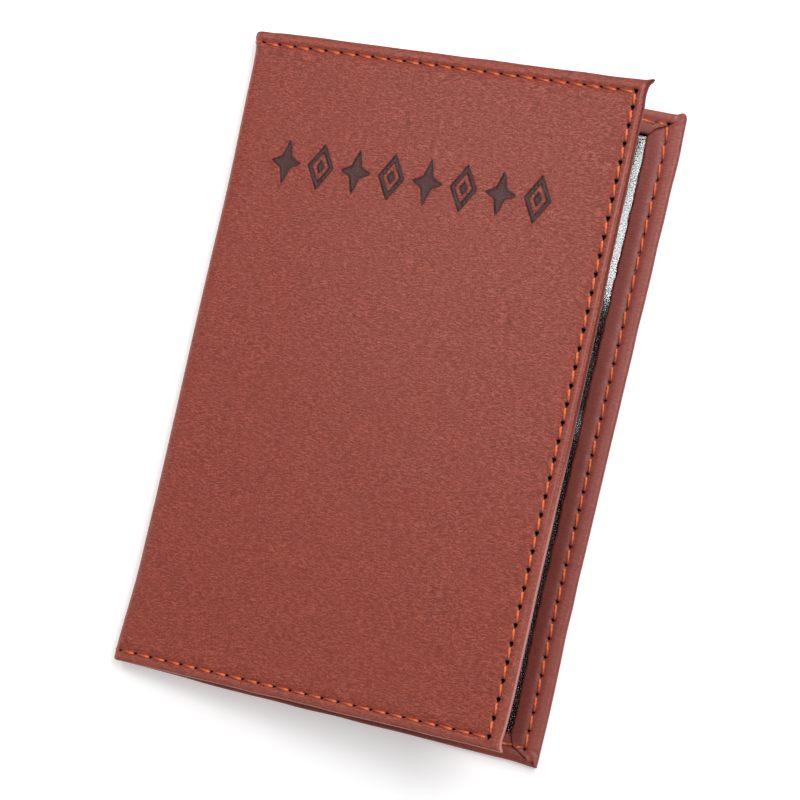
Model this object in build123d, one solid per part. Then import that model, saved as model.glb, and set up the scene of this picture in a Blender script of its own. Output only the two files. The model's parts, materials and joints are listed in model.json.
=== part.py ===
"""Passport holder: two sewn covers and a narrow spine between them, for one passport.

It lies on its back cover, with the front cover raised a little. Millimetres, +Z up, +Y towards the top edge.
Each cover is drawn lying flat, in its own axes: X runs from the spine crease to the fore edge, Y along the
spine, and Z from the outer face (0) inwards. The spine and the front cover are then folded into place.
"""
import os
from itertools import pairwise
from math import cos, radians, sin

from build123d import *

# Overall size
COVER_WIDTH = 93.0          # crease to fore edge
COVER_HEIGHT = 140.0        # bottom edge to top edge
SPINE_WIDTH = 3.0           # crease to crease
OPENING = 16.0              # angle between the covers at rest, degrees

# Layers, from the outside in
LEATHER = 0.7               # outer skin
BOARD = 0.3                 # stiffening sheet under the skin
LINING = 0.2                # black woven cloth
SLEEVE = 0.15               # clear pocket film
HEM = 0.6                   # skin turned in over the other layers
CORE = BOARD + LINING + SLEEVE
COVER_STACK = LEATHER + CORE + HEM
SPINE_STACK = LEATHER + LINING + HEM

# Turned edges
HEM_FORE = 7.0              # fore edge of the cover to the raw edge of its hem
HEM_SIDE = 6.1              # the same at the top and bottom edges
FOLD = 0.75                 # skin left at the turned edge
CORNER_RADIUS = 1.2         # fore-edge corners, seen from outside
COVER_EDGE_RADIUS = 0.8     # round of a cover's turned edges
SPINE_EDGE_RADIUS = 0.6     # round of the spine's turned ends
COVER_SETBACK = 1.2         # inner layers of a cover stop this far from its crease
SPINE_SETBACK = 0.3         # inner layers of the spine stop this far from each crease
PLAY = 0.05                 # play round a layer that lies inside the folded skin
CREASE_GAP = 0.05           # play between the spine's skin and a cover's when they lie open flat

# Clear pocket sleeve
SLEEVE_START = 22.0         # open mouth of the sleeve, from the crease
NOTCH_RADIUS = 9.0          # thumb notch in the mouth

# Lockstitch seam
SEAM_MARGIN_SIDE = 2.8      # seam to the top and bottom edges
SEAM_MARGIN_FORE = 3.4      # seam to the fore edge
FORE_STITCHES = {"front": 35, "back": 34}
SIDE_STITCHES = 23          # on one cover, along the top or along the bottom
CORNER_STITCH = 2.4         # on the back cover the last stitch of each side seam is this short
STITCH_WIDTH = 0.6
STITCH_GAP = 0.95           # needle hole between two outer stitches
BOBBIN_GAP = 0.6            # the same between two inner stitches
CHANNEL_WIDTH = 1.0         # groove that the thread pulls into the skin
CHANNEL_DEPTH = 0.35
STITCH_HEIGHT = 0.3         # thread standing from the floor of the groove

# Ornament pressed into the front cover
BAND_CENTRE = (43.6, 42.1)  # from the crease, and above the middle of the cover
BAND_LENGTH = 68.4
BAND_HEIGHT = 10.0
ORNAMENTS = 8
DEBOSS_DEPTH = 0.25

SEAM_X = COVER_WIDTH - SEAM_MARGIN_FORE
SEAM_Y = COVER_HEIGHT / 2 - SEAM_MARGIN_SIDE
SIDE_PITCH = (2 * SEAM_X + SPINE_WIDTH) / (2 * SIDE_STITCHES + 1)
FIRST_HOLE = SEAM_X - SIDE_STITCHES * SIDE_PITCH
WINDOW_X = COVER_WIDTH - HEM_FORE
WINDOW_Y = COVER_HEIGHT / 2 - HEM_SIDE
OUTER_THREAD = CHANNEL_DEPTH - STITCH_HEIGHT    # the outer stitches lie this far inside the outer face
HALF_OPENING = OPENING / 2

# How far the folded spine stands out beyond the back crease, and the middle of the whole object from there
SPINE_REACH = (SPINE_WIDTH - CREASE_GAP) * sin(radians(HALF_OPENING))
SPINE_OUT = SPINE_REACH + LEATHER * cos(radians(HALF_OPENING))
X_CENTRE = (COVER_WIDTH - SPINE_OUT) / 2


def layer(x0, x1, half_y, z0, z1):
    """A flat plate from x0 to x1, as far as half_y each way along the spine, and from z0 to z1."""
    plate = Box(x1 - x0, 2 * half_y, z1 - z0, align=(Align.MIN, Align.CENTER, Align.MIN))
    return Pos(x0, 0, z0) * plate


def stitch(x, y, along, length, z0):
    """One stitch of thread lying in its groove, centred on x, y and turned along degrees."""
    outline = SlotOverall(length, STITCH_WIDTH, rotation=along)
    return Pos(x, y, z0) * extrude(outline, STITCH_HEIGHT)


def even_holes(start, end, count):
    """Places of the needle holes of count even stitches from start to end."""
    return [start + (end - start) * i / count for i in range(count + 1)]


def side_holes(side):
    """Places of the needle holes of a cover's side seam, from the crease to the corner."""
    if side == "front":
        return even_holes(FIRST_HOLE, SEAM_X, SIDE_STITCHES)
    return even_holes(FIRST_HOLE, SEAM_X - CORNER_STITCH, SIDE_STITCHES - 1) + [SEAM_X]


def seam_channels(x1, fore, z0, z1):
    """Grooves of one face: along both side seams as far as x1 and, on a cover, along the fore seam."""
    half = CHANNEL_WIDTH / 2
    channels = [Pos(0, side * SEAM_Y, 0) * layer(-half, x1, half, z0, z1) for side in (1, -1)]
    if fore:
        channels.append(layer(SEAM_X - half, SEAM_X + half, SEAM_Y + half, z0, z1))
    return Part() + channels


def cover_stitches(side, gap, z0):
    """The stitches of one cover's three seams, each a separate solid, with a hole of gap between them."""
    fore_holes = even_holes(-SEAM_Y, SEAM_Y, FORE_STITCHES[side])
    stitches = [
        stitch(SEAM_X, (low + high) / 2, 90, high - low - gap, z0)
        for low, high in pairwise(fore_holes)
    ]
    for edge in (1, -1):
        stitches += [
            stitch((near + far) / 2, edge * SEAM_Y, 0, far - near - gap, z0)
            for near, far in pairwise(side_holes(side))
        ]
    return Compound(stitches)


def spine_stitches(length, z0):
    """The one stitch of each side seam that crosses the spine."""
    middle = SPINE_WIDTH / 2
    return Compound([stitch(middle, side * SEAM_Y, 0, length, z0) for side in (1, -1)])


def turned_block(x0, x1, stack, edge_radius, turned_fore_edge):
    """Outer shape of a folded skin from x0 to x1: rounded where it is turned in, square at a crease."""
    block = layer(x0, x1, COVER_HEIGHT / 2, 0, stack)
    creases = [x0, x1]
    if turned_fore_edge:
        creases = [x0]
        corners = block.edges().filter_by(Axis.Z).group_by(Axis.X)[-1]
        block = fillet(corners, CORNER_RADIUS)
    flat_edges = block.faces().filter_by(Axis.Z).edges()
    turned = [e for e in flat_edges if all(abs(e.center().X - x) > PLAY for x in creases)]
    return fillet(turned, edge_radius)


def cover_leather(ornament):
    """Skin of a cover with its hem turned in on three sides, and room inside for the other layers."""
    skin = turned_block(0, COVER_WIDTH, COVER_STACK, COVER_EDGE_RADIUS, True)
    inner_x = COVER_WIDTH - FOLD
    inner_y = COVER_HEIGHT / 2 - FOLD
    skin -= layer(-1, COVER_SETBACK, COVER_HEIGHT, LEATHER, COVER_STACK + 1)
    skin -= layer(0, inner_x, inner_y, LEATHER, LEATHER + CORE)
    skin -= layer(0, WINDOW_X, WINDOW_Y, LEATHER, COVER_STACK + 1)
    skin -= seam_channels(SEAM_X, True, -1, CHANNEL_DEPTH)
    skin -= seam_channels(SEAM_X, True, COVER_STACK - CHANNEL_DEPTH, COVER_STACK + 1)
    if ornament:
        skin -= ornament_band()
    return skin


def star():
    """Four-point star as tall as the band."""
    tall, waist = BAND_HEIGHT / 2, BAND_HEIGHT * 0.12
    wide = tall * 0.72
    return Polygon(
        (0, tall), (waist, waist), (wide, 0), (waist, -waist),
        (0, -tall), (-waist, -waist), (-wide, 0), (-waist, waist),
    )


def lozenge():
    """Tall lozenge outline with a small lozenge in its middle."""
    def diamond(scale):
        tall = BAND_HEIGHT / 2 * scale
        return Polygon((0, tall), (tall * 0.62, 0), (0, -tall), (-tall * 0.62, 0))
    return diamond(1.0) - diamond(0.66) + diamond(0.3)


def ornament_band():
    """Row of stars and lozenges, in turn, sunk into the outer face."""
    pitch = BAND_LENGTH / ORNAMENTS
    x, y = BAND_CENTRE
    band = Part()
    for i in range(ORNAMENTS):
        outline = star() if i % 2 == 0 else lozenge()
        place = Pos(x - BAND_LENGTH / 2 + pitch * (i + 0.5), -y, -1)
        band += place * extrude(outline, DEBOSS_DEPTH + 1, dir=(0, 0, 1))
    return band


def inner_layer(x0, z0, thickness):
    """A layer of a cover that reaches inside the turned edge on three sides and starts at x0."""
    return layer(x0, COVER_WIDTH - FOLD - PLAY, COVER_HEIGHT / 2 - FOLD - PLAY, z0, z0 + thickness)


def cover_board():
    """Stiffening sheet glued to the inside of the skin."""
    return inner_layer(COVER_SETBACK, LEATHER, BOARD)


def cover_lining():
    """Woven cloth over the board."""
    return inner_layer(COVER_SETBACK, LEATHER + BOARD, LINING)


def cover_sleeve():
    """Clear pocket held under the hem on three sides and open towards the spine, with a thumb notch."""
    z0 = LEATHER + BOARD + LINING
    film = inner_layer(SLEEVE_START, z0, SLEEVE)
    return film - Pos(SLEEVE_START, 0, z0) * Cylinder(NOTCH_RADIUS, 4 * SLEEVE)


def spine_leather():
    """Skin of the spine, with the hems of the side seams running on across it."""
    x1 = SPINE_WIDTH - CREASE_GAP
    skin = turned_block(CREASE_GAP, x1, SPINE_STACK, SPINE_EDGE_RADIUS, False)
    inner_y = COVER_HEIGHT / 2 - FOLD
    over = SPINE_STACK + 1
    skin -= layer(-1, SPINE_SETBACK, COVER_HEIGHT, LEATHER, over)
    skin -= layer(SPINE_WIDTH - SPINE_SETBACK, SPINE_WIDTH + 1, COVER_HEIGHT, LEATHER, over)
    skin -= layer(0, SPINE_WIDTH, inner_y, LEATHER, LEATHER + LINING)
    skin -= layer(0, SPINE_WIDTH, WINDOW_Y, LEATHER, over)
    skin -= seam_channels(SPINE_WIDTH + 1, False, -1, CHANNEL_DEPTH)
    skin -= seam_channels(SPINE_WIDTH + 1, False, SPINE_STACK - CHANNEL_DEPTH, over)
    return skin


def spine_lining():
    """Woven cloth across the inside of the spine."""
    inner_y = COVER_HEIGHT / 2 - FOLD - PLAY
    return layer(SPINE_SETBACK, SPINE_WIDTH - SPINE_SETBACK, inner_y, LEATHER, LEATHER + LINING)


def fold(x, z, turn, shape):
    """Stand a flat-drawn shape on a crease at x, z, turned away from the back cover by turn degrees."""
    return Pos(x, 0, z) * Rot(0, -turn, 0) * Rot(180, 0, 0) * Pos(0, 0, -LEATHER) * shape


def on_spine(shape):
    """Place of the spine at rest, hinged on the inner face of the back cover's skin."""
    return fold(0, LEATHER, 90 + HALF_OPENING, shape)


def on_front(shape):
    """Place of the front cover at rest, hinged on the far edge of the spine."""
    x = -SPINE_WIDTH * sin(radians(HALF_OPENING))
    z = LEATHER + SPINE_WIDTH * cos(radians(HALF_OPENING))
    return fold(x, z, OPENING, shape)


def cover_nodes(side, place):
    """The six pieces of one cover."""
    return {
        f"{side}_cover_leather": place(cover_leather(side == "front")),
        f"{side}_stiffener_board": place(cover_board()),
        f"{side}_lining": place(cover_lining()),
        f"{side}_clear_sleeve": place(cover_sleeve()),
        f"{side}_needle_thread": place(cover_stitches(side, STITCH_GAP, OUTER_THREAD)),
        f"{side}_bobbin_thread": place(cover_stitches(side, BOBBIN_GAP, COVER_STACK - CHANNEL_DEPTH)),
    }


def spine_nodes():
    """The four pieces of the spine."""
    outer_length = SPINE_WIDTH - 2 * (CREASE_GAP + PLAY)
    inner_length = SPINE_WIDTH - 2 * (SPINE_SETBACK + PLAY)
    return {
        "spine_leather": on_spine(spine_leather()),
        "spine_lining": on_spine(spine_lining()),
        "spine_needle_thread": on_spine(spine_stitches(outer_length, OUTER_THREAD)),
        "spine_bobbin_thread": on_spine(spine_stitches(inner_length, SPINE_STACK - CHANNEL_DEPTH)),
    }


nodes = cover_nodes("back", lambda shape: shape) | spine_nodes() | cover_nodes("front", on_front)

os.makedirs("parts", exist_ok=True)
for name, shape in nodes.items():
    export_step(Pos(-X_CENTRE, 0, 0) * shape, f"parts/{name}.step")
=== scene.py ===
"""Looks of the passport holder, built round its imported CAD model.

Lengths are in millimetres until a mesh or a light is made. Every layer of a cover is drawn flat, as the CAD
draws it: s runs from the back crease to the fore edge (and below 0 onto the spine), v runs up the cover, and
w runs from the outer face inwards. place() bends that flat drawing round the fold and, for the front cover,
mirrors it across the middle of the spine.
"""
import json
import math

import bmesh
import bpy
import numpy as np
from mathutils import Matrix, Vector


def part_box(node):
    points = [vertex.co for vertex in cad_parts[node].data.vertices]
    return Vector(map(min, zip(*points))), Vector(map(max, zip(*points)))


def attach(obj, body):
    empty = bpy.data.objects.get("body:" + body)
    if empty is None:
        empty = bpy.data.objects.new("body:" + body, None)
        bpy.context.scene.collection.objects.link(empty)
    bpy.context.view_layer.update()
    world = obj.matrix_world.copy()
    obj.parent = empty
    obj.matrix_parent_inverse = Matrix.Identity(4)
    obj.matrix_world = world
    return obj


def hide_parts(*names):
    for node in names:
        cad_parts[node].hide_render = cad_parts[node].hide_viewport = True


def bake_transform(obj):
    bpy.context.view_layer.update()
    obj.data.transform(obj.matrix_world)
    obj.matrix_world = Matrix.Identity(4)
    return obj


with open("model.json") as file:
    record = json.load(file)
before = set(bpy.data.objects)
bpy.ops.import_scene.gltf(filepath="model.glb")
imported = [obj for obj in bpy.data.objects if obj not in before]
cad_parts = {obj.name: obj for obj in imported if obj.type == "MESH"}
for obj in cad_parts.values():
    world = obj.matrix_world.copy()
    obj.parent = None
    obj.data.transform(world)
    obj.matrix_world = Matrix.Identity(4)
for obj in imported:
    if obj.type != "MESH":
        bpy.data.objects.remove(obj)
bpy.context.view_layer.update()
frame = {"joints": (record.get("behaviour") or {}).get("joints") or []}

MM = 0.001

# ---------------------------------------------------------------- sizes, from the frame where it has them

LOW, HIGH = (np.array(corner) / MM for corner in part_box("back_cover_leather"))
WIDTH = HIGH[0] - LOW[0]                # crease to fore edge
HALF = HIGH[1]                          # middle of the cover to its top edge
STACK = HIGH[2]                         # all layers at a hem
JOINTS = {j["name"]: np.array(j["pos_m"]) / MM for j in frame["joints"]}
HINGE = JOINTS["back_crease"][[0, 2]]   # x and z of the back crease
FAR_HINGE = JOINTS["front_crease"][[0, 2]]
SKIN = HINGE[1]                         # thickness of the outer leather
SPINE = float(np.linalg.norm(FAR_HINGE - HINGE))
SPINE_WAY = (FAR_HINGE - HINGE) / SPINE
SPINE_STACK = 1.5                       # all layers at a hem on the spine
HEM_SKIN = 0.6                          # the turned-in leather is pared a little
HEM_FORE, HEM_SIDE = 7.0, 6.1           # turned edge to the raw edge of the hem
HEM_BOTTOM = 5.4                        # the bottom hem came out a little narrow
HEM_SINK = 0.36                         # at a corner the lower hem is pressed this far into the layers
HEM_TAPER = 0.25                        # the fore hem is this much wider at its top, and narrower at its foot
RIM = STACK / 2                         # half the thickness of a turned edge
RIM_SQUARE = 0.72                       # 1 is a round turned edge, and less is squarer
SPINE_FOOT, SPINE_HEAD = 0.45, 0.35     # the holder is this much shorter at the two ends of its spine
BOARD_LOW, BOARD_HIGH = 0.72, 0.97      # the two faces of the stiffening board, from the outer face
BOARD_START = 3.0                       # crease to the board
LINING_W = 1.0                          # outer side of the lining, from the outer face
LINING_THICK = 0.2
FILM_THICK = 0.15
BOARD_INSET, LINING_INSET, FILM_INSET = 1.4, 1.2, 1.3   # each stops this far inside the turned edges
SLEEVE_START = float(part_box("back_clear_sleeve")[0][0]) / MM - LOW[0]
NOTCH = 9.0                             # radius of the thumb notch

SEAM_S = WIDTH - 3.4                    # crease to the fore seam
SEAM_V = HALF - 2.8                     # middle of the cover to a side seam
FORE_STITCHES = {"front": 35, "back": 34}
SIDE_STITCHES = 23
CORNER_STITCH = 2.4                     # the back's side seams end with a stitch this short
THREAD_RADIUS = 0.26
THREAD_STANDS, THREAD_DIVES = 0.06, 0.6     # the thread's middle off the surface, and its ends into the holes
RISING, LONG_TAIL, SHORT_TAIL = 0.14, 0.18, 0.1     # shares of a stitch that rise and that dive
NEEDLE_HOLE, BOBBIN_HOLE = 1.24, 1.0    # sizes of the holes on the two faces
HOLE_FLAT = 2.3                         # a hole on a side seam is this much flatter
FIRST_HOLE = SEAM_S - SIDE_STITCHES * (2 * SEAM_S + SPINE) / (2 * SIDE_STITCHES + 1)
FRONT_START = 1.2                       # the front's side seams start this much further from the spine
FORE_HOLES = {
    side: np.linspace(-SEAM_V, SEAM_V, count + 1)
    for side, count in FORE_STITCHES.items()
}
SIDE_HOLES = {
    "front": np.linspace(FIRST_HOLE + FRONT_START, SEAM_S, SIDE_STITCHES + 1),
    "back": np.append(np.linspace(FIRST_HOLE, SEAM_S - CORNER_STITCH, SIDE_STITCHES), SEAM_S),
}

BAND_S, BAND_V = 43.6, 42.1             # middle of the pressed ornament
BAND_LENGTH, BAND_HEIGHT, ORNAMENTS = 68.4, 10.0, 8
PRESS_DEPTH = 0.24
DEEPEST = 0.62                          # no relief goes deeper into the skin than this
FAR_OFF = 9.0                           # stands for a distance too large to matter

BEND = 1.4                              # how far from a crease the skin starts to bend
FOLD_TURN = math.pi / 2 - math.atan2(-SPINE_WAY[0], SPINE_WAY[1])
BEND_RADIUS = BEND / math.tan(FOLD_TURN / 2)


# ---------------------------------------------------------------- small helpers

def smooth(x, low, high):
    """0 below low, 1 above high, and a smooth step between."""
    t = np.clip((x - low) / (high - low), 0, 1)
    return t * t * (3 - 2 * t)


def bump(x, middle, width):
    """A bell of height 1 round middle."""
    return np.exp(-(((x - middle) / width) ** 2))


def noise(x, y, seed):
    """Smooth noise from -1 to 1, about one unit from bump to bump."""
    table = np.random.default_rng(seed).uniform(-1, 1, (256, 256))
    xi, yi = np.floor(x).astype(int), np.floor(y).astype(int)
    fx, fy = x - xi, y - yi
    fx, fy = fx * fx * (3 - 2 * fx), fy * fy * (3 - 2 * fy)

    def at(i, j):
        return table[(xi + i) % 256, (yi + j) % 256]

    low = at(0, 0) * (1 - fx) + at(1, 0) * fx
    high = at(0, 1) * (1 - fx) + at(1, 1) * fx
    return low * (1 - fy) + high * fy


def hole_lines(holes, per, squeeze=0.6):
    """Grid lines through the needle holes, per lines to a stitch, closer together round the holes."""
    t = np.arange(per) / per
    t = t - squeeze * np.sin(2 * math.pi * t) / (2 * math.pi)
    lines = holes[:-1, None] + np.diff(holes)[:, None] * t
    return np.append(lines.ravel(), holes[-1])


# ---------------------------------------------------------------- from the flat drawing to the folded holder

def bend(s, w):
    """x and z of a point s from the back crease and w inside the outer face, round the fold."""
    turn = FOLD_TURN * np.clip((BEND - s) / (2 * BEND), 0, 1)
    radius = BEND_RADIUS - (w - SKIN)
    past = np.maximum(-BEND - s, 0)
    x = HINGE[0] + BEND - radius * np.sin(turn) + np.maximum(s - BEND, 0) - past * math.cos(FOLD_TURN)
    z = HINGE[1] + BEND_RADIUS - radius * np.cos(turn) + past * math.sin(FOLD_TURN)
    return x, z


def stray(side, s, v):
    """How far a whole cover, with its layers and seams, is out of square at s, v, as (along s, along v)."""
    out = np.clip(s / WIDTH, 0, 1)
    if side == "front":
        along_s = 0.2 * bump(v, -2, 30) - 0.35 * bump(v, -70, 9)
        along_v = 0.55 * bump(v, 60, 18) - 0.45 * bump(v, -8, 34) - 0.4 * smooth(v, 64, 68)
    else:
        along_s = (0.2 + 0.01 * v) * (1 - 0.5 * smooth(v, 58, 70)) + 0.45 * smooth(-v, 35, 62)
        leaning = 0.375 * (1 - v / HALF) + 0.35 * smooth(-v, 20, 66)
        along_v = -leaning - np.cos(math.pi / 2 * v / HALF)
    return out * along_s, out * along_v


def outline(side, s, v):
    """How far the turned edge strays from the straight one at s, v, as (along s, along v)."""
    at_fore = smooth(s, WIDTH - 2.6, WIDTH)
    out = np.clip(s / WIDTH, 0, 1)
    top, bottom = HALF - v, HALF + v
    ripple = 0.06 * noise(v / 6, v * 0, 11 if side == "front" else 12)
    if side == "front":
        along_s = ripple - 0.85 - 0.3 * v / HALF + 0.95 * bump(top, 0, 0.8) - 0.25 * bump(top, 3.4, 1.8)
        along_s += 0.5 * bump(bottom, 0, 0.9) - 0.2 * bump(bottom, 2.8, 1.6)
        shorter = SPINE_FOOT + (0.6 - SPINE_FOOT) * smooth(s, 0, 12)
        along_v = shorter * (1 - 0.4 * out) * smooth(-v, 0, HALF)
        along_v = along_v + 0.4 * bump(WIDTH - s, 0, 1.2) * smooth(v, 0, HALF)
    else:
        along_s = ripple + 0.3 * smooth(v, 52, 69) + 0.02 * bump(top, 0.8, 1.0) - 0.3 * bump(top, 0, 0.4)
        along_v = SPINE_FOOT * (1 - smooth(s, 0, 30)) - (0.15 + 0.4 * smooth(s, WIDTH - 7, WIDTH)) * out
        along_v = along_v * smooth(-v, 0, HALF) - 0.4 * out * smooth(v, 0, HALF)
        along_v = along_v + 0.6 * bump(WIDTH - s, 0.7, 0.8) * smooth(v, HALF - 3, HALF)
    along_v = along_v - SPINE_HEAD * (1 - smooth(s, 0, 7)) * smooth(v, 0, HALF)
    along_v = along_v + 0.08 * noise(s / 7, v / 70, 13 if side == "front" else 14) * smooth(s, 2, 8)
    return along_s * at_fore, along_v * smooth(abs(v), HALF - 2.4, HALF)


def bow(side, s, v):
    """How far the whole thickness of a cover lies inside of flat, at s and v."""
    away = smooth(s, 3, 30)
    if side == "front":
        crown = -0.4 * np.sin(np.clip(s / WIDTH, 0, 1) * math.pi) * (1 - 0.5 * (v / HALF) ** 2)
        lift = -0.35 * smooth(s, WIDTH - 22, WIDTH) * smooth(v, HALF - 30, HALF)
        return (crown + lift + 0.12 * noise(s / 23, v / 27, 15)) * away
    return (0.12 + 0.1 * noise(s / 25, v / 29, 16)) * away * smooth(abs(v) + s * 0.4, 60, 104)


def flare(s, v):
    """The fold is drawn in between its two ends, where the doubled skin of the hems holds it out."""
    drawn_in = 0.72 * smooth(HALF - v, 4, 40) + 0.4 * smooth(HALF - v, 50, 105) - 0.75 * smooth(-v, 48, 69)
    held_out = 0.3 * smooth(v, HALF - 9, HALF - 1) + 0.55 * smooth(v, HALF - 4.5, HALF - 1)
    return (held_out - drawn_in) * (1 - smooth(s, -0.6, 3.4))


def place(side, s, v, w):
    """Points in the row frame, in millimetres, of the flat drawing's s, v and w on that side."""
    s, v, w = np.broadcast_arrays(np.asarray(s, float), np.asarray(v, float), np.asarray(w, float))
    shifts = [stray(side, s, v), outline(side, s, v)]
    along_s, along_v = (sum(shift) for shift in zip(*shifts))
    x, z = bend(s + along_s, w + bow(side, s, v) - flare(s, v))
    if side == "front":
        middle = (HINGE + FAR_HINGE) / 2
        across = (x - middle[0]) * SPINE_WAY[0] + (z - middle[1]) * SPINE_WAY[1]
        x, z = x - 2 * across * SPINE_WAY[0], z - 2 * across * SPINE_WAY[1]
    return np.stack([x, v + along_v, z], -1)


# ---------------------------------------------------------------- meshes

def grid_faces(index, turned=False):
    """Quads over a 2-D array of vertex numbers."""
    quads = np.stack([index[:-1, :-1], index[1:, :-1], index[1:, 1:], index[:-1, 1:]], -1).reshape(-1, 4)
    return quads[:, ::-1] if turned else quads


class Sheets:
    """Collects patches of points and faces, then makes one Blender object of them."""

    def __init__(self, side):
        self.side = side
        self.points, self.flat, self.faces, self.marks = [], [], [], {}
        self.count = 0

    def patch(self, s, v, w, turned=False, closed=False, **marks):
        """Adds a grid of points given by 2-D arrays, with float marks for the material."""
        s, v, w = np.broadcast_arrays(s, v, w)
        index = np.arange(s.size).reshape(s.shape) + self.count
        if closed:
            index = np.concatenate([index, index[:, :1]], 1)
        self.points.append(place(self.side, s, v, w).reshape(-1, 3))
        self.flat.append(np.stack([s, v, w], -1).reshape(-1, 3))
        self.faces.append(grid_faces(index, turned != (self.side == "front")))
        for name in sorted(set(marks) | set(self.marks)):
            unmarked = FAR_OFF if name in ("hole", "press") else 0.0
            value = np.broadcast_to(marks.get(name, unmarked), s.shape).ravel()
            self.marks.setdefault(name, [np.full(self.count, unmarked)]).append(value)
        self.count += s.size

    def build(self, name, material, weld=True):
        """The finished object, welded where patches meet."""
        mesh = bpy.data.meshes.new(name)
        points = np.concatenate(self.points) * MM
        mesh.from_pydata(points.tolist(), [], np.concatenate(self.faces).tolist())
        flat = mesh.attributes.new("flat", "FLOAT_VECTOR", "POINT")
        flat.data.foreach_set("vector", np.concatenate(self.flat).astype(np.float32).ravel())
        for mark, values in self.marks.items():
            attribute = mesh.attributes.new(mark, "FLOAT", "POINT")
            attribute.data.foreach_set("value", np.concatenate(values).astype(np.float32))
        if weld:
            work = bmesh.new()
            work.from_mesh(mesh)
            bmesh.ops.remove_doubles(work, verts=work.verts, dist=0.004 * MM)
            work.to_mesh(mesh)
            work.free()
        mesh.shade_smooth()
        mesh.materials.append(material)
        piece = bpy.data.objects.new(name, mesh)
        bpy.context.scene.collection.objects.link(piece)
        return piece


# ---------------------------------------------------------------- the seam

def seam_out(s, v):
    """Distance outside the seam line, negative inside it."""
    return np.maximum(s - SEAM_S, abs(v) - SEAM_V)


def past_hole(holes, x):
    """How far x is past the nearest of the holes."""
    after = np.clip(np.searchsorted(holes, x), 1, len(holes) - 1)
    low, high = x - holes[after - 1], x - holes[after]
    return np.where(low < -high, low, high)


def hole_places(side, s, v):
    """Each point's place beside the nearest needle hole, along the seam and outwards, and whether that hole
    is on the fore seam."""
    fore = -past_hole(FORE_HOLES[side], v), s - SEAM_S
    beside = past_hole(SIDE_HOLES[side], s), abs(v) - SEAM_V
    on_fore = np.hypot(*fore) <= np.hypot(*beside)
    return np.where(on_fore, fore[0], beside[0]), np.where(on_fore, fore[1], beside[1]), on_fore


def hole_distance(side, s, v, size):
    """Distance outside the nearest needle hole. A hole is a small triangle that narrows along the seam, and
    a flatter one on the side seams, because the awl's blade stands upright all the way round."""
    along, out, on_fore = hole_places(side, s, v)
    along, out = along / size, abs(out / size - 0.08) * np.where(on_fore, 1, HOLE_FLAT)
    base, slanted_side = -0.42 - along, 0.87 * (out - 0.3 + 0.5 * along)
    return size * np.maximum(base, slanted_side)


def hole_pit(distance):
    """1 in the middle of a hole and 0 outside it."""
    return 1 - smooth(distance, -0.3, 0.12)


def seam_relief(side, s, v, depth):
    """How deep the seam pulls the leather in: a groove, dimples at the holes, and soft rolls beside it."""
    out = seam_out(s, v)
    along, beside, _ = hole_places(side, s, v)
    groove = depth * bump(out, 0, 0.55)
    dimples = 0.5 * depth * np.exp(-((along / 0.8) ** 2 + (beside / 0.9) ** 2))
    roll = 0.8 * depth * bump(out, 1.35, 0.8) + 0.5 * depth * bump(out, -1.8, 1.3)
    return groove + dimples - roll


def grain_relief(s, v, seed):
    """The larger wrinkles of the leather, which run across the cover."""
    wander = 0.8 * noise(s / 9, v / 9, seed + 3)
    fine = noise(s / 2.6, v / 0.85 + wander, seed) + 0.6 * noise(s / 1.4, v / 0.6 + wander, seed + 1)
    return 0.022 * fine + 0.05 * noise(s / 9, v / 7, seed + 2)


# ---------------------------------------------------------------- the pressed ornament

def polygon_distance(x, y, corners):
    """Signed distance to a polygon, negative inside."""
    nearest = np.full(x.shape, 1e9)
    inside = np.zeros(x.shape, bool)
    for (ax, ay), (bx, by) in zip(corners, corners[1:] + corners[:1]):
        ex, ey = bx - ax, by - ay
        t = np.clip(((x - ax) * ex + (y - ay) * ey) / (ex * ex + ey * ey), 0, 1)
        nearest = np.minimum(nearest, np.hypot(x - ax - t * ex, y - ay - t * ey))
        crosses = (ay > y) != (by > y)
        level = np.where(ay == by, 1e-9, by - ay)
        inside ^= crosses & (x < ex * (y - ay) / level + ax)
    return np.where(inside, -nearest, nearest)


def star_distance(x, y):
    """Four-point star as tall as the band."""
    tall, waist = BAND_HEIGHT / 2, BAND_HEIGHT * 0.12
    wide = tall * 0.72
    return polygon_distance(x, y, [
        (0, tall), (waist, waist), (wide, 0), (waist, -waist),
        (0, -tall), (-waist, -waist), (-wide, 0), (-waist, waist),
    ])


def lozenge_distance(x, y):
    """Tall lozenge outline with a small lozenge in its middle."""
    def diamond(scale):
        tall = BAND_HEIGHT / 2 * scale
        return polygon_distance(x, y, [(0, tall), (tall * 0.62, 0), (0, -tall), (-tall * 0.62, 0)])
    return np.minimum(np.maximum(diamond(1.0), -diamond(0.66)), diamond(0.3))


def ornament_distance(s, v):
    """Signed distance to the row of stars and lozenges, negative inside one."""
    nearest = np.full(s.shape, FAR_OFF)
    pitch = BAND_LENGTH / ORNAMENTS
    for i in range(ORNAMENTS):
        x, y = s - (BAND_S - BAND_LENGTH / 2 + pitch * (i + 0.5)), v - BAND_V
        near = (abs(x) < pitch / 2) & (abs(y) < BAND_HEIGHT / 2 + 1)
        measure = star_distance if i % 2 == 0 else lozenge_distance
        nearest[near] = measure(x[near], y[near])
    return nearest


# ---------------------------------------------------------------- leather

def stack_at(s):
    """Thickness of all layers at a hem: thinner on the spine than on a cover."""
    return SPINE_STACK + (STACK - SPINE_STACK) * smooth(s, 1.5, 6)


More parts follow.
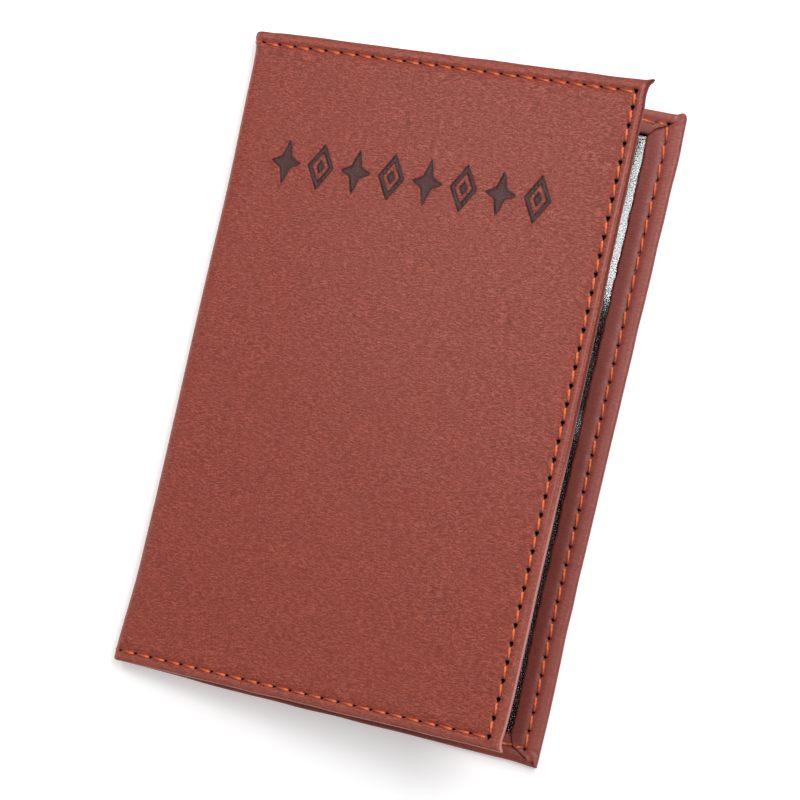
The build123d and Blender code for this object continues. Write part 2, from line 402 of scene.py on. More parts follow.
def hem_profile():
    """Stations across a turned edge: how far in (0 at the rim, 1 at the raw edge), share of the stack,
    1 on the inside, 1 on the raw edge, and the turn round the bend, from 0 to pi."""
    rim = np.linspace(0, math.pi, 13)
    flat = np.linspace(0, 1, 15)[1:]
    raw = np.array([0.01, 0.0, -0.15])
    round_in = 1 - np.sin(rim) ** RIM_SQUARE
    share = (1 - np.sign(np.cos(rim)) * abs(np.cos(rim)) ** RIM_SQUARE) / 2
    drop = np.array([0.35, 0.9, 1.0]) * HEM_SKIN / STACK
    inward = np.concatenate([round_in - 1, flat, 1 + raw])
    share = np.concatenate([share, np.ones(len(flat)), 1 - drop])
    inside = np.concatenate([smooth(rim, 1.9, 2.9), np.ones(len(flat) + len(raw))])
    raw_edge = np.concatenate([np.zeros(len(rim) + len(flat) - 1), [0.6, 1, 1, 0.6]])
    rim_turn = np.concatenate([rim, np.full(len(flat) + len(raw), math.pi)])
    return inward, share, inside, raw_edge, rim_turn


def inward_of(station, hem):
    """Millimetres in from the edge of a profile station, for a hem that wide."""
    return np.where(station < 0, RIM * (1 + station), RIM + station * (hem - RIM))


def corner_line(station, top):
    """How far in from the fore edge and from the side edge the two hems of a corner meet."""
    from_fore = inward_of(station, HEM_FORE + np.where(top, HEM_TAPER, -HEM_TAPER))
    from_top = inward_of(station, HEM_SIDE) * (1 - 0.17 * bump(station, 0.75, 0.25))
    mid_hem = smooth(station, 0, 0.15) * (1 - smooth(station, 0.8, 1))
    from_bottom = inward_of(station, HEM_BOTTOM) * (1 - 0.37 * mid_hem)
    return from_fore, np.where(top, from_top, from_bottom)


def hem_point(side, way, line, station, share, inside, sink, seed):
    """Arrays s, v, w for one turned side. way is 'fore', or 1 or -1 for the top or bottom side."""
    line, station = np.meshgrid(line, station, indexing="ij")
    ragged = 0.13 * noise(line / 2.3, line * 0, seed) + 0.07 * noise(line / 0.7, line * 0, seed + 1)
    ragged = ragged * smooth(station, 0.6, 1)
    if way == "fore":
        corner_fore, corner_side = corner_line(station, line > 0)
        straight = inward_of(station, HEM_FORE + HEM_TAPER * line / HALF)
        at_corner = smooth(abs(line), HALF - 16, HALF - RIM)
        s = WIDTH - straight - (corner_fore - straight) * at_corner - ragged
        v = line * (HALF - corner_side) / (HALF - RIM)
    else:
        corner_fore, corner_side = corner_line(station, way > 0)
        straight = inward_of(station, HEM_SIDE if way > 0 else HEM_BOTTOM)
        at_corner = smooth(line, WIDTH - 16, WIDTH - RIM)
        s = line * np.where(line > 0, (WIDTH - corner_fore) / (WIDTH - RIM), 1.0)
        v = way * (HALF - straight - (corner_side - straight) * at_corner - ragged)
    pit = hole_pit(hole_distance(side, s, v, BOBBIN_HOLE))
    relief = seam_relief(side, s, v, 0.15) + 0.3 * pit + 0.6 * grain_relief(s, v, seed + 2)
    across = 0.04 * noise(line / 0.9, station * 2, seed + 5) * bump(station, -0.4, 0.6)
    waves = 0.07 * noise(line / 5, station, seed + 7) * smooth(station, 0.6, 1)
    # the hem stays clear of the film below it
    relief = np.minimum(relief + corner_wrinkles(s, v, 0.14) + sink, 0.5)
    w = share * stack_at(s) - inside * relief + across * (1 - share) + waves * inside
    return s, v, w


def corner_wrinkles(s, v, strength):
    """Creases that fan out from the seam's corner to the outer corner."""
    x, y = s - SEAM_S, abs(v) - SEAM_V
    reach = np.hypot(x, y)
    angle = np.arctan2(y, x)
    within = bump(reach, 2.4, 1.4) * smooth(x + y, 0.4, 2.2)
    return strength * np.sin(angle * 9 + 1.5 * np.sin(reach)) * within


def skin_lines(side):
    """Grid lines of the outer leather along s and along v, crowded round the holes and in the ornament."""
    s_lines = np.concatenate([
        np.linspace(-SPINE / 2, SIDE_HOLES[side][0], 10)[:-1],
        hole_lines(SIDE_HOLES[side], 10),
        np.linspace(SEAM_S, WIDTH - RIM, 8)[1:],
    ])
    v_lines = np.concatenate([
        np.linspace(-(HALF - RIM), -SEAM_V, 7)[:-1],
        hole_lines(FORE_HOLES[side], 7),
        np.linspace(SEAM_V, HALF - RIM, 7)[1:],
    ])
    if side == "front":
        middles = (v_lines[1:] + v_lines[:-1]) / 2
        in_band = abs(middles - BAND_V) < BAND_HEIGHT / 2 + 0.6
        v_lines = np.sort(np.concatenate([v_lines, middles[in_band]]))
    return s_lines, v_lines


def add_outer_face(made, side, s_lines, v_lines, seed):
    """The face seen from outside, as far as the turned edges."""
    s, v = np.meshgrid(s_lines, v_lines, indexing="ij")
    hole = hole_distance(side, s, v, NEEDLE_HOLE)
    relief = seam_relief(side, s, v, 0.2) + 0.3 * hole_pit(hole) + grain_relief(s, v, seed)
    press = np.full(s.shape, FAR_OFF)
    if side == "front":
        press = ornament_distance(s, v)
        relief = relief + PRESS_DEPTH * (1 - smooth(press, -0.3, 0.1)) - 0.09 * bump(press, 0.4, 0.3)
    else:
        # the back cover lies on this face, so nothing stands out of it
        relief = np.maximum(relief, 0)
    relief = np.minimum(relief, DEEPEST) * smooth(s, -0.4, 2)
    from_side, from_fore = HALF - abs(v), WIDTH - s
    # the outer face meets each turned edge level
    relief = relief * smooth(from_side, RIM, RIM + 0.7) * smooth(from_fore, RIM, RIM + 0.7)
    # a painted highlight along the fore and side margins, stronger high up
    painted_highlight = (0.15 + 0.4 * smooth(v, -35, 10)) * bump(from_fore, 1.25, 0.45)
    painted_highlight = painted_highlight + 0.25 * bump(from_side, 1.2, 0.5)
    made.patch(s, v, relief, hole=hole, press=press, crest=painted_highlight)


def add_hem(made, side, way, lines, seed):
    """One turned edge and its hem. way is 'fore', or 1 or -1 for the top or bottom side.

    At each corner the top hem lies over the fore hem, and that over the bottom one. The one below sinks.
    """
    station, share, inside, raw_edge, rim_turn = hem_profile()
    ends = {"fore": [(0, False), (-1, True)], 1: [(-1, False)], -1: [(-1, True)]}[way]
    sink = np.zeros((len(lines), len(station)))
    raw = np.broadcast_to(raw_edge, sink.shape)
    for end, below in ends:
        if below:
            gap = abs(lines[end] - lines)[:, None] * np.ones(len(station))
            sink += HEM_SINK * (1 - smooth(gap, 0, 4)) * smooth(station, 0.05, 0.35)
            # the hem below is painted dark along the edge of the one on top: a painted shadow
            strength = 0.9 if way == -1 else 0.7 * smooth(station, 0.35, 0.6)
            raw = np.maximum(raw, (1 - smooth(gap, 0.2, 0.9)) * inside * strength)
    s, v, w = hem_point(side, way, lines, station, share, inside, sink, seed)
    hole = hole_distance(side, s, v, BOBBIN_HOLE) + FAR_OFF * (1 - inside)
    # painted highlight and painted shade on the bend of the turned edge
    lit, rim_shade = rim_painted_light(side, way, v, rim_turn)
    # the inside mark carries painted sheen on the hem outside the seam, and painted shade further in
    shade = inside * (0.25 + 0.75 * smooth(-seam_out(s, v), -0.8, 2.4))
    # painted shade on the rim and on the hem goes into the raw mark, with the cut edge
    raw = np.maximum(raw, np.maximum(rim_shade, inside * hem_painted_shade(side, way, s, v)))
    made.patch(s, v, w, turned=way != 1, hole=hole, inside=shade, raw=raw, crest=lit)
    for end, below in ends:
        if not below:
            add_hem_lip(made, way, end, s, v, w, inside, raw_edge, hole[end])


def skin(side, material):
    """The outer leather of one cover with its half of the spine, and the hem turned in on three sides."""
    made = Sheets(side)
    seed = 40 if side == "front" else 60
    s_lines, v_lines = skin_lines(side)
    add_outer_face(made, side, s_lines, v_lines, seed)
    for way, lines in (("fore", v_lines), (1, s_lines), (-1, s_lines)):
        add_hem(made, side, way, lines, seed + 9)
    return made.build(f"{side}_skin", material)


def hem_painted_shade(side, way, s, v):
    """How much painted shade the turned-in leather takes: most on the back cover, along its foot and low on
    its fore hem, where the front cover shades it, and a little towards the bottom on the front.
    """
    if side == "front":
        return 0.12 * smooth(-v, 5, 66)
    if way == -1:
        return 0.4 + 0 * v
    within_seam = smooth(-seam_out(s, v), -0.5, 1.5)
    return (0.10 + 0.32 * within_seam) * smooth(-v, -30, 35)


def rim_painted_light(side, way, v, rim_turn):
    """Painted highlight and painted shade round the bend of a turned edge: a pale painted highlight low on
    the front, painted shade elsewhere.
    """
    pale_end = smooth(-v, -5, 30) if side == "front" else 0 * v
    if way == -1 and side == "front":
        pale_end = 0.8 + 0 * v
    # lit is a painted highlight on the bend, and the dark share below it painted shade
    lit = 1.7 * bump(rim_turn, 1.3, 0.27) * pale_end + 0.15 * bump(rim_turn, 0.1, 0.3)
    rim_shade = 0.75 * bump(rim_turn, 1.35, 0.6) * (1 - pale_end)
    return lit, rim_shade


def add_hem_lip(made, way, end, s, v, w, inside, raw_edge, hole):
    """The cut end of the hem that lies on top at a corner: a little overlap, then the leather's thickness."""
    overlap = 0.35
    reaches = smooth(inside, 0.5, 1)
    out = overlap * reaches
    step = (0, -out) if way == "fore" else (out, 0)
    s_end, v_end = s[end] + step[0], v[end] + step[1]
    s_lip = np.stack([s[end], s_end, s_end])
    v_lip = np.stack([v[end], v_end, v_end])
    w_lip = np.stack([w[end], w[end], w[end] - (HEM_SINK + 0.08) * reaches])
    raw = np.stack([raw_edge, np.maximum(raw_edge, 0.5 * inside), inside])
    inside, hole = np.stack([inside] * 3), np.stack([hole] * 3)
    made.patch(s_lip, v_lip, w_lip, inside=inside, raw=raw, hole=hole)


# ---------------------------------------------------------------- flat layers

def slab(side, name, material, s_lines, v_lines, level, thick):
    """A closed slab from the surface level(s, v) inwards. s_lines may differ for each v."""
    made = Sheets(side)
    s = s_lines if s_lines.ndim == 2 else np.repeat(s_lines[:, None], len(v_lines), 1)
    v = np.repeat(v_lines[None, :], s.shape[0], 0)
    low = level(s, v)
    high = low + thick
    made.patch(s, v, low)
    made.patch(s, v, high, turned=True)
    rims = (
        (np.s_[:, :1], np.hstack, True),
        (np.s_[:, -1:], np.hstack, False),
        (np.s_[:1, :], np.vstack, False),
        (np.s_[-1:, :], np.vstack, True),
    )
    for rim, join, turned in rims:
        made.patch(join([s[rim]] * 2), join([v[rim]] * 2), join([low[rim], high[rim]]), turned=turned)
    return made.build(name, material)


def board(side, material):
    """Stiffening sheet between the skin and the lining."""
    s_lines = np.linspace(BOARD_START, WIDTH - BOARD_INSET, 46)
    end = HALF - BOARD_INSET
    v_lines = np.linspace(-end, end, 70)

    def level(s, v):
        return np.full(s.shape, BOARD_LOW)

    return slab(side, f"{side}_board", material, s_lines, v_lines, level, BOARD_HIGH - BOARD_LOW)


def lining_level(s, v):
    """Outer side of the lining: it dips towards the skin where it crosses the crease."""
    return LINING_W - 0.22 * (1 - smooth(s, 1.5, 6)) + 0.03 * noise(s / 7, v / 6, 21)


def lining(side, material):
    """Woven cloth of one cover and half of the spine."""
    past_fold, end = 3.0, HALF - LINING_INSET
    s_lines = np.concatenate([
        np.linspace(-SPINE / 2, past_fold, 16)[:-1],
        np.linspace(past_fold, WIDTH - LINING_INSET, 100),
    ])
    v_lines = np.linspace(-end, end, 150)
    return slab(side, f"{side}_lining_cloth", material, s_lines, v_lines, lining_level, LINING_THICK)


def film_level(side, s, v):
    """Outer side of the clear sleeve. It bows off the lining, most along the top half of the fore hem."""
    fore, ends, mouth = WIDTH - HEM_FORE - s, HALF - HEM_SIDE - abs(v), s - SLEEVE_START
    free = smooth(fore, -0.4, 3.4) * smooth(ends, -0.3, 6) * (0.35 + 0.65 * smooth(mouth, 0, 8))
    bowed = 0.16 + 0.1 * noise(s / 16, v / 13, 31) + 0.05 * noise(s / 5, v / 9, 32)
    level = LINING_W + LINING_THICK + 0.03 + bowed * free
    if side == "back":
        rise = 1 - np.exp(-np.maximum(fore + 0.2, 0) / 3.2)
        fall = 1 - smooth(fore, 6, 26)
        along = smooth(v, 22, 31) * smooth(ends, -0.3, 0.5) + 0.55 * bump(v, 1.5, 3.5)
        level = level + 1.05 * rise * fall * along
    ripples = 0.006 * noise(s / 1.4, v / 1.9, 33) * smooth(fore, -0.4, 1.5)
    return level + ripples


def sleeve(side, material):
    """Clear pocket film, caught under the hem on three sides, with a thumb notch in its open mouth."""
    arc = NOTCH * np.sin(np.linspace(-math.pi / 2, math.pi / 2, 33))
    # lines crowd towards the hems, where the film dips under them
    rest = NOTCH + (HALF - FILM_INSET - NOTCH) * (1 - (1 - np.linspace(0, 1, 76)[1:]) ** 1.7)
    v_lines = np.concatenate([-rest[::-1], arc, rest])
    mouth = SLEEVE_START + np.sqrt(np.maximum(NOTCH ** 2 - v_lines ** 2, 0))
    share = np.linspace(0, 1, 110)[:, None] ** 0.9
    s_lines = mouth[None, :] * (1 - share) + (WIDTH - FILM_INSET) * share

    def level(s, v):
        return film_level(side, s, v)

    return slab(side, f"{side}_sleeve_film", material, s_lines, v_lines, level, FILM_THICK)


# ---------------------------------------------------------------- thread

def stitch_points(begin, finish, slant, level, sign, radius, tail=LONG_TAIL):
    """A twisted thread from one needle hole to the next, as grids s, v and w.

    level is the w of the surface, and sign is 1 on the outer face and -1 on the inner one. slant is how far
    the thread swings sideways, and tail is the share of its length that dives into the hole it ends at.
    """
    ring, steps, plies, turns = 12, 22, 3, 2.6
    begin, finish = np.array(begin, float), np.array(finish, float)
    way = (finish - begin) / np.linalg.norm(finish - begin)
    beside = np.array([-way[1], way[0]])
    t = np.linspace(0, 1, steps)
    rise = np.sin(np.clip(np.minimum(t / RISING, (1 - t) / tail), 0, 1) * math.pi / 2)
    middle = begin + np.outer(t, finish - begin) + np.outer(slant * (t - 0.3), beside)
    lift = level - sign * (THREAD_STANDS * rise - THREAD_DIVES * (1 - rise))
    angle = np.linspace(0, 2 * math.pi, ring, endpoint=False)
    lobes = 1 + 0.14 * np.cos(plies * angle[None, :] - 2 * math.pi * turns * t[:, None])
    thick = radius * (0.8 + 0.2 * rise)[:, None] * lobes
    out = thick * np.cos(angle)[None, :]
    s = middle[:, :1] + out * beside[0]
    v = middle[:, 1:] + out * beside[1]
    w = lift[:, None] + thick * np.sin(angle)[None, :]
    return s, v, w


def stitches(side, face, material):
    """All stitches of one face of a cover, and half of the two that cross the spine."""
    made = Sheets(side)
    outer = face == "needle"
    sign = 1 if outer else -1
    rng = np.random.default_rng(7 if outer else 8)

    def level(s):
        return 0.16 if outer else float(stack_at(np.array(s))) - 0.12

    def sew(begin, finish, slant, tail=LONG_TAIL):
        slant = slant + rng.normal(0, 0.05)
        radius = THREAD_RADIUS * (1 + rng.normal(0, 0.04))
        middle = (begin[0] + finish[0]) / 2
        s, v, w = stitch_points(begin, finish, slant, level(middle), sign, radius, tail)
        # a short tail also takes its painted shade sooner
        shade_sooner = 0.6 if tail == SHORT_TAIL else 1
        along = np.linspace(0, 1, len(s))[:, None] ** shade_sooner
        made.patch(s, v, w, closed=True, turned=True, along=along)

    # a stitch leaves one hole and enters the next this far from their middles
    leave, enter = (0.52, 0.36) if outer else (0.5, 0.05)
    for low, high in zip(FORE_HOLES[side][:-1], FORE_HOLES[side][1:]):
        sew((SEAM_S + 0.06, high - leave), (SEAM_S + 0.06, low + enter), 0.42)
    for end in (1, -1):
        for near, far in zip(SIDE_HOLES[side][:-1], SIDE_HOLES[side][1:]):
            if side == "front" and outer:
                # these slope the same way on both seams, down towards the fore edge
                line = end * SEAM_V - 0.17
                slant = -0.34 if end > 0 else -0.14
                sew((far - leave, line), (near + enter, line), slant, SHORT_TAIL)
            else:
                line = end * (SEAM_V - 0.15)
                sew((near + leave, line), (far - enter, line), -0.4 * end)
        half_stitch(made, end, level, sign, SIDE_HOLES[side][0] - leave)
    return made.build(f"{side}_{face}_stitches", material, weld=False)


def half_stitch(made, end, level, sign, start):
    """The half, on this side, of the stitch that crosses the spine."""
    begin, finish = (start, end * SEAM_V), (-SPINE - start, end * SEAM_V)
    s, v, w = stitch_points(begin, finish, 0.0, level(0.0), sign, THREAD_RADIUS)
    every = np.linspace(0, 1, len(s))
    half = np.linspace(0, 0.5, len(s))
    s, v, w = (np.stack([np.interp(half, every, column) for column in grid.T], 1) for grid in (s, v, w))
    # the half stitch takes a fixed share of the painted shade all along
    made.patch(s, v, w, closed=True, along=0.65)


# ---------------------------------------------------------------- materials

class Shader:
    """A material's node tree, with short calls for the nodes used here."""

    def __init__(self, name):
        self.material = bpy.data.materials.new(name)
        self.material.use_nodes = True
        self.tree = self.material.node_tree
        self.tree.nodes.clear()
        self.output = self.node("OutputMaterial")
        self.surface = self.node("BsdfPrincipled")
        self.link(self.surface.outputs["BSDF"], self.output.inputs["Surface"])

    def node(self, kind, **settings):
        made = self.tree.nodes.new("ShaderNode" + kind)
        for name, value in settings.items():
            setattr(made, name, value)
        return made

    def link(self, out, into):
        self.tree.links.new(out, into)

    def put(self, value, socket):
        """Links an output, or sets a plain value."""
        if isinstance(value, bpy.types.NodeSocket):
            self.link(value, socket)
        else:
            socket.default_value = value

    def mark(self, name, vector=False):
        """A value stored at each point of the mesh."""
        made = self.node("Attribute", attribute_name=name)
        return made.outputs["Vector" if vector else "Fac"]

    def stretch(self, vector, scale):
        made = self.node("Mapping")
        self.link(vector, made.inputs["Vector"])
        made.inputs["Scale"].default_value = scale
        return made.outputs["Vector"]

    def noise(self, vector, scale, detail=2.0, rough=0.5, distortion=0.0):
        made = self.node("TexNoise")
        self.link(vector, made.inputs["Vector"])
        settings = {"Scale": scale, "Detail": detail, "Roughness": rough, "Distortion": distortion}
        for name, value in settings.items():
            made.inputs[name].default_value = value
        return made.outputs["Fac"]

    def math(self, kind, a, b=0.5, clamp=False):
        made = self.node("Math", operation=kind, use_clamp=clamp)
        self.put(a, made.inputs[0])
        self.put(b, made.inputs[1])
        return made.outputs[0]

    def ramp(self, value, stops):
        made = self.node("ValToRGB")
        ramp = made.color_ramp
        while len(ramp.elements) < len(stops):
            ramp.elements.new(0.5)
        for element, (position, colour) in zip(ramp.elements, stops):
            element.position = position
            element.color = (*colour, 1)
        self.link(value, made.inputs["Fac"])
        return made.outputs["Color"]

    def span(self, value, low, high, to_low=0.0, to_high=1.0):
        """Maps low to to_low and high to to_high, and holds it there beyond them."""
        made = self.node("MapRange")
        self.link(value, made.inputs["Value"])
        settings = {"From Min": low, "From Max": high, "To Min": to_low, "To Max": to_high}
        for name, number in settings.items():
            made.inputs[name].default_value = number
        return made.outputs["Result"]

    def mix(self, share, a, b, blend="MIX"):
        made = self.node("Mix", data_type="RGBA", blend_type=blend)
        self.put(share, made.inputs["Factor"])
        sockets = [x for x in made.inputs if x.type == "RGBA"]
        self.put((*a, 1) if isinstance(a, tuple) else a, sockets[0])
        self.put((*b, 1) if isinstance(b, tuple) else b, sockets[1])
        return next(x for x in made.outputs if x.type == "RGBA")

    def bump(self, height, strength, distance, below=None):
        made = self.node("Bump")
        made.inputs["Strength"].default_value = strength
        made.inputs["Distance"].default_value = distance
        self.link(height, made.inputs["Height"])
        if below is not None:
            self.link(below, made.inputs["Normal"])
        return made.outputs["Normal"]

    def finish(self, colour=None, roughness=None, normal=None, **plain):
        for value, name in ((colour, "Base Color"), (roughness, "Roughness"), (normal, "Normal")):
            if value is not None:
                self.put(value, self.surface.inputs[name])
        for name, value in plain.items():
            self.put(value, self.surface.inputs[name.replace("_", " ").title().replace("Ior", "IOR")])
        return self.material


def wrinkle_height(m, flat):
    """Height of the wrinkles that run across a cover and swirl a little, and of the finest of them alone."""
    drift = m.node("TexNoise")
    m.link(flat, drift.inputs["Vector"])
    drift.inputs["Scale"].default_value = 0.22
    drift.inputs["Detail"].default_value = 1.0
    swirl = m.node("VectorMath", operation="MULTIPLY_ADD")
    m.link(drift.outputs["Color"], swirl.inputs[0])
    swirl.inputs[1].default_value = (2.4, 2.4, 0)
    m.link(flat, swirl.inputs[2])
    swirled = swirl.outputs["Vector"]
    streaks = m.noise(m.stretch(swirled, (0.8, 3.8, 3.8)), 1.0, 1.0, 0.5, 0.4)
    pebbles = m.noise(m.stretch(swirled, (2.1, 4.8, 4.8)), 1.0, 1.0, 0.5, 0.3)
    fine = m.noise(m.stretch(swirled, (3.6, 6.5, 6.5)), 1.0, 1.0, 0.5)
    height = m.math("ADD", m.math("MULTIPLY", streaks, 0.42), m.math("MULTIPLY", pebbles, 0.36))
    return m.math("ADD", height, m.math("MULTIPLY", fine, 0.22)), fine


def plain_leather(m, flat, height):
    """Colour of unmarked leather: paler on the crests of the wrinkles, and a little patchy."""
    patchy = m.noise(flat, 0.06, 3.0, 0.55)
    cloudy = m.noise(m.stretch(flat, (0.13, 0.24, 0.24)), 1.0, 3.0, 0.55)
    colour = m.ramp(m.span(height, 0.42, 0.58), [
        (0.0, (0.163, 0.0205, 0.0110)),
        (0.35, (0.220, 0.0308, 0.0162)),
        (0.65, (0.270, 0.0425, 0.0228)),
        (1.0, (0.363, 0.0775, 0.0500)),
    ])
    colour = m.mix(m.span(patchy, 0.35, 0.68, 0.0, 0.22), colour, (0.262, 0.0390, 0.0200))
    return m.mix(m.span(cloudy, 0.42, 0.68, 0.0, 0.20), colour, (0.178, 0.0300, 0.0195))


def leather_material():
    """Reddish-brown PU leather. The mesh marks where it is turned in, pressed, cut and pierced, and where
    highlight, sheen and shade are painted.
    """
    m = Shader("pu_leather")
    flat = m.mark("flat", vector=True)
    marks = ("inside", "crest", "press", "raw", "hole")
    inside, crest, press, raw, hole = (m.mark(name) for name in marks)
    height, fine = wrinkle_height(m, flat)
    colour = plain_leather(m, flat, height)

    # on the turned-in leather, a painted pink sheen near the rim and painted shade towards the raw edge
    painted_sheen, shaded = (0.330, 0.0900, 0.0760), (0.130, 0.0250, 0.0220)
    colour = m.mix(m.span(inside, 0.05, 0.25, 0.0, 0.45), colour, painted_sheen)
    colour = m.mix(m.span(inside, 0.25, 1.0, 0.0, 0.40), colour, shaded)
    # the crest mark paints highlights on the margins and rims
    painted_highlight = (0.540, 0.225, 0.185)
    colour = m.mix(m.math("MULTIPLY", crest, 0.5, clamp=True), colour, painted_highlight)

    burnt = m.mix(m.span(fine, 0.35, 0.65), (0.036, 0.012, 0.011), (0.085, 0.026, 0.023))
    colour = m.mix(m.span(press, 0.06, -0.1), colour, burnt)
    # darker along the pressed outline
    press_outline_dark = m.span(m.math("ABSOLUTE", press, 0.0), 0.20, 0.05, 0.0, 0.85)
    colour = m.mix(press_outline_dark, colour, (0.016, 0.006, 0.006))

    cut_edge_and_shade, painted_hole_slope_shade, painted_hole_shade = (0.060, 0.010, 0.008), (0.070, 0.016, 0.013), (0.002, 0.001, 0.001)
    # the raw mark paints the cut edges dark, and also the painted shade and shadow on the hems and rims
    colour = m.mix(m.math("MULTIPLY", raw, 0.85), colour, cut_edge_and_shade)
    # the needle holes and the slopes into them are painted dark: painted shade in the pits
    colour = m.mix(m.span(hole, 0.3, 0.0, 0.0, 0.4), colour, painted_hole_slope_shade)
    colour = m.mix(m.span(hole, 0.06, -0.04), colour, painted_hole_shade)

    roughness = m.span(height, 0.38, 0.62, 0.50, 0.38)
    gloss = m.math("MULTIPLY", m.span(hole, -0.05, 0.15, 0.0, 0.42), m.span(press, -0.1, 0.1, 0.9, 1.0))
    gloss = m.math("MULTIPLY", gloss, m.span(raw, 0.0, 0.6, 1.0, 0.15))
    normal = m.bump(height, 0.6, 0.0001)
    normal = m.bump(m.span(press, -0.2, 0.25), 1.0, 0.0003, below=normal)
    return m.finish(colour, roughness, normal, specular_ior_level=gloss)


def thread_material():
    """Bonded orange polyester thread."""
    m = Shader("orange_thread")
    flat = m.mark("flat", vector=True)
    fibre = m.noise(m.stretch(flat, (5.0, 5.0, 5.0)), 1.0, 3.0, 0.6)
    colour = m.ramp(m.span(fibre, 0.3, 0.7), [
        (0.0, (0.520, 0.065, 0.014)),
        (0.6, (0.780, 0.140, 0.028)),
        (1.0, (0.930, 0.230, 0.055)),
    ])
    along = m.mark("along")
    # painted highlight where the thread leaves a hole, and painted shade where it dives into the next
    colour = m.mix(m.span(along, 0.35, 0.05, 0.0, 0.4), colour, (0.950, 0.330, 0.110))
    colour = m.mix(m.span(along, 0.40, 0.80, 0.0, 0.9), colour, (0.260, 0.034, 0.011))
    normal = m.bump(fibre, 0.4, 0.00005)
    return m.finish(colour, 0.4, normal, specular_ior_level=0.5)


def weave(m, flat):
    """Height of a plain weave, 0 in the gaps and 1 on the threads."""
    warp = m.node("TexWave", wave_type="BANDS", bands_direction="X", wave_profile="SIN")
    weft = m.node("TexWave", wave_type="BANDS", bands_direction="Y", wave_profile="SIN")
    for wave in (warp, weft):
        m.link(flat, wave.inputs["Vector"])
        wave.inputs["Scale"].default_value = 0.62
        wave.inputs["Distortion"].default_value = 0.6
        wave.inputs["Detail"].default_value = 1.0
    checks = m.node("TexChecker")
    m.link(flat, checks.inputs["Vector"])
    checks.inputs["Scale"].default_value = 1.9
    threads = m.node("Mix", data_type="FLOAT")
    m.link(checks.outputs["Fac"], threads.inputs["Factor"])
    m.link(warp.outputs["Fac"], threads.inputs["A"])
    m.link(weft.outputs["Fac"], threads.inputs["B"])
    return threads.outputs["Result"]


def lining_material():
    """Coarse black plain weave."""
    m = Shader("black_weave")
    flat = m.mark("flat", vector=True)
    height = weave(m, flat)
    fuzz = m.noise(flat, 2.6, 3.0, 0.6)
    colour = m.ramp(m.math("MULTIPLY", height, m.span(fuzz, 0.3, 0.7, 0.3, 1.2)), [
        (0.0, (0.003, 0.003, 0.004)),
        (0.55, (0.012, 0.014, 0.015)),
        (1.0, (0.130, 0.170, 0.172)),
    ])
    normal = m.bump(height, 0.9, 0.00025)
    return m.finish(colour, 0.7, normal, specular_ior_level=0.35, sheen_weight=0.2, sheen_roughness=0.4)


def film_material():
    """Clear flexible PVC, a little clouded and scuffed."""
    m = Shader("clear_pvc")
    flat = m.mark("flat", vector=True)
    haze = m.noise(m.stretch(flat, (0.25, 0.6, 0.6)), 1.0, 4.0, 0.6, 0.5)
    scuffs = m.noise(m.stretch(flat, (0.8, 2.4, 2.4)), 1.0, 3.0, 0.6)
    roughness = m.span(haze, 0.35, 0.7, 0.10, 0.18)
    normal = m.bump(scuffs, 0.08, 0.0001)
    normal = m.bump(weave(m, flat), 0.16, 0.0001, below=normal)
    return m.finish((0.95, 0.97, 0.98, 1), roughness, normal, transmission_weight=1.0, ior=1.54)


def board_material():
    """Brown fibre board."""
    m = Shader("fibre_board")
    flat = m.mark("flat", vector=True)
    fibres = m.noise(m.stretch(flat, (0.8, 2.0, 2.0)), 1.0, 4.0, 0.7)
    colour = m.mix(fibres, (0.30, 0.20, 0.12), (0.48, 0.36, 0.24))
    return m.finish(colour, 0.85, m.bump(fibres, 0.3, 0.0001))


def floor_material():
    """Matt white paper, lit a little from below."""
    m = Shader("white_floor")
    place_in_room = m.node("TexCoord").outputs["Object"]
    paper = m.noise(place_in_room, 220.0, 2.0, 0.5)
    colour = m.mix(paper, (0.93, 0.93, 0.93), (0.96, 0.96, 0.96))
    glow = {"emission_color": (1, 1, 1, 1), "emission_strength": 0.24}
    return m.finish(colour, 0.9, specular_ior_level=0.1, **glow)


# ---------------------------------------------------------------- putting it together


def bend_with_spine(piece):
    """Bakes the piece's placement into its mesh."""
    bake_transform(piece)


def make_cover(side, materials):
    """Every piece of one cover. Four of them carry on over its half of the spine."""
    leather = skin(side, materials["leather"])
    cloth = lining(side, materials["lining"])
    needle = stitches(side, "needle", materials["thread"])
    bobbin = stitches(side, "bobbin", materials["thread"])
    for piece, slot, cover_node, spine_node in (
        (leather, "outer_leather", "cover_leather", "leather"),
        (cloth, "black_lining", "lining", "lining"),
        (needle, "orange_thread", "needle_thread", "needle_thread"),
        (bobbin, "orange_thread", "bobbin_thread", "bobbin_thread"),
    ):
        bend_with_spine(piece)
        replaced = [f"{side}_{cover_node}"]
        if side == "back":
            replaced.append(f"spine_{spine_node}")
        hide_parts(*replaced)

    film = sleeve(side, materials["film"])
    stiffener = board(side, materials["board"])
    for piece, slot, node in (
        (film, "clear_film", "clear_sleeve"),
        (stiffener, "stiffener_board", "stiffener_board"),
    ):
        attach(piece, side)
        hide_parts(f"{side}_{node}")


MATERIALS = {
    "leather": leather_material(),
    "lining": lining_material(),
    "film": film_material(),
    "board": board_material(),
    "thread": thread_material(),
}
for cover in ("back", "front"):
    make_cover(cover, MATERIALS)


# ---------------------------------------------------------------- floor, light and camera

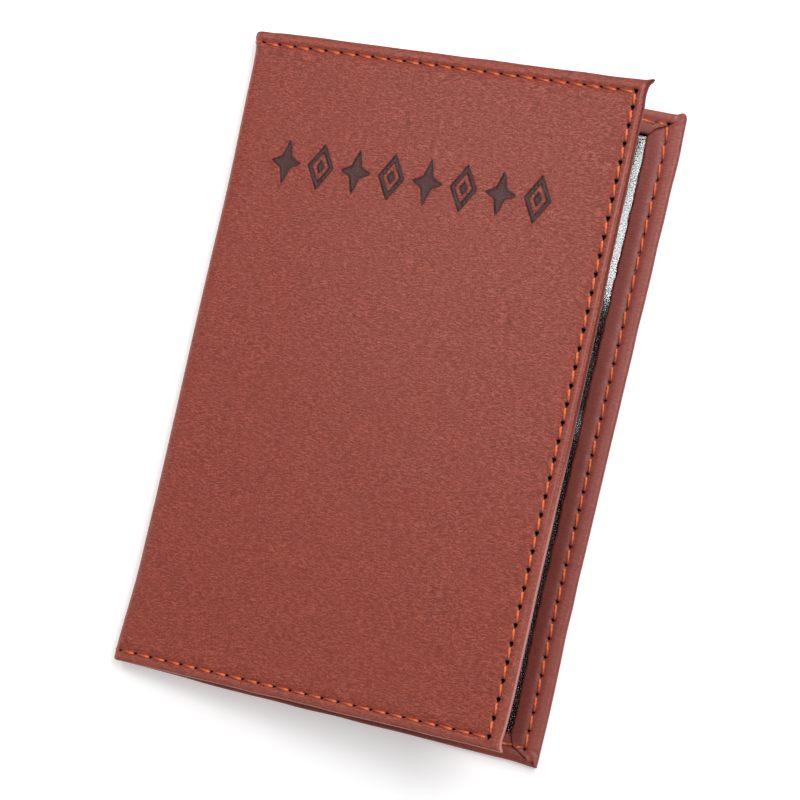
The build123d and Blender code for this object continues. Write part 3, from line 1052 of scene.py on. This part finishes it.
def floor():
    """A large pale floor just under the back cover."""
    reach, below = 8.0, 0.0003
    corners = [(-reach, -reach, 0), (reach, -reach, 0), (reach, reach, 0), (-reach, reach, 0)]
    mesh = bpy.data.meshes.new("floor")
    mesh.from_pydata(corners, [], [(0, 1, 2, 3)])
    mesh.materials.append(floor_material())
    piece = bpy.data.objects.new("floor", mesh)
    piece.location.z = -below
    bpy.context.scene.collection.objects.link(piece)


def aim(thing, place_at, target):
    """Stands a light at a place in metres, facing target."""
    thing.location = place_at
    thing.rotation_euler = (Vector(target) - Vector(place_at)).to_track_quat("-Z", "Y").to_euler()
    bpy.context.scene.collection.objects.link(thing)


def softbox(name, place_at, size, power, target=(0, 0, 0)):
    """A rectangular soft light. size is its width and height in metres."""
    data = bpy.data.lights.new(name, "AREA")
    data.shape = "RECTANGLE"
    data.size, data.size_y = size
    data.energy = power
    aim(bpy.data.objects.new(name, data), place_at, target)


def room_light(strength):
    """Even white light from all round."""
    world = bpy.data.worlds.new("studio")
    world.use_nodes = True
    background = world.node_tree.nodes["Background"]
    background.inputs["Color"].default_value = (1.0, 1.0, 1.0, 1)
    background.inputs["Strength"].default_value = strength
    bpy.context.scene.world = world


def camera():
    """The viewing angle: nearly overhead, from the fore edge's lower corner, turned a little."""
    data = bpy.data.cameras.new("camera")
    data.lens, data.sensor_width = 143.17, 36.0
    data.clip_start, data.clip_end = 0.05, 20
    thing = bpy.data.objects.new("camera", data)
    stand = Vector((125.15, -60.29, 664.96)) * MM
    target = Vector((3.67, -3.41, 15.0)) * MM
    upright = Vector((-0.2065, 0.9706, 0.1235))     # what looks upright in the picture
    back = (stand - target).normalized()
    right = upright.cross(back).normalized()
    up = back.cross(right)
    turned = Matrix((right, up, back)).transposed().to_4x4()
    thing.matrix_world = Matrix.Translation(stand) @ turned
    bpy.context.scene.collection.objects.link(thing)
    bpy.context.scene.camera = thing


floor()
bpy.context.scene.view_settings.view_transform = "Standard"
room_light(0.52)
softbox("key", (0.20, 0.70, 0.75), (0.6, 0.4), 4.0)
softbox("fill", (0.50, 0.20, 0.88), (0.36, 0.36), 3.8)
softbox("sheen", (-0.21, 0.11, 0.32), (0.12, 0.12), 0.22, target=(0.03, 0.05, 0.02))
camera()
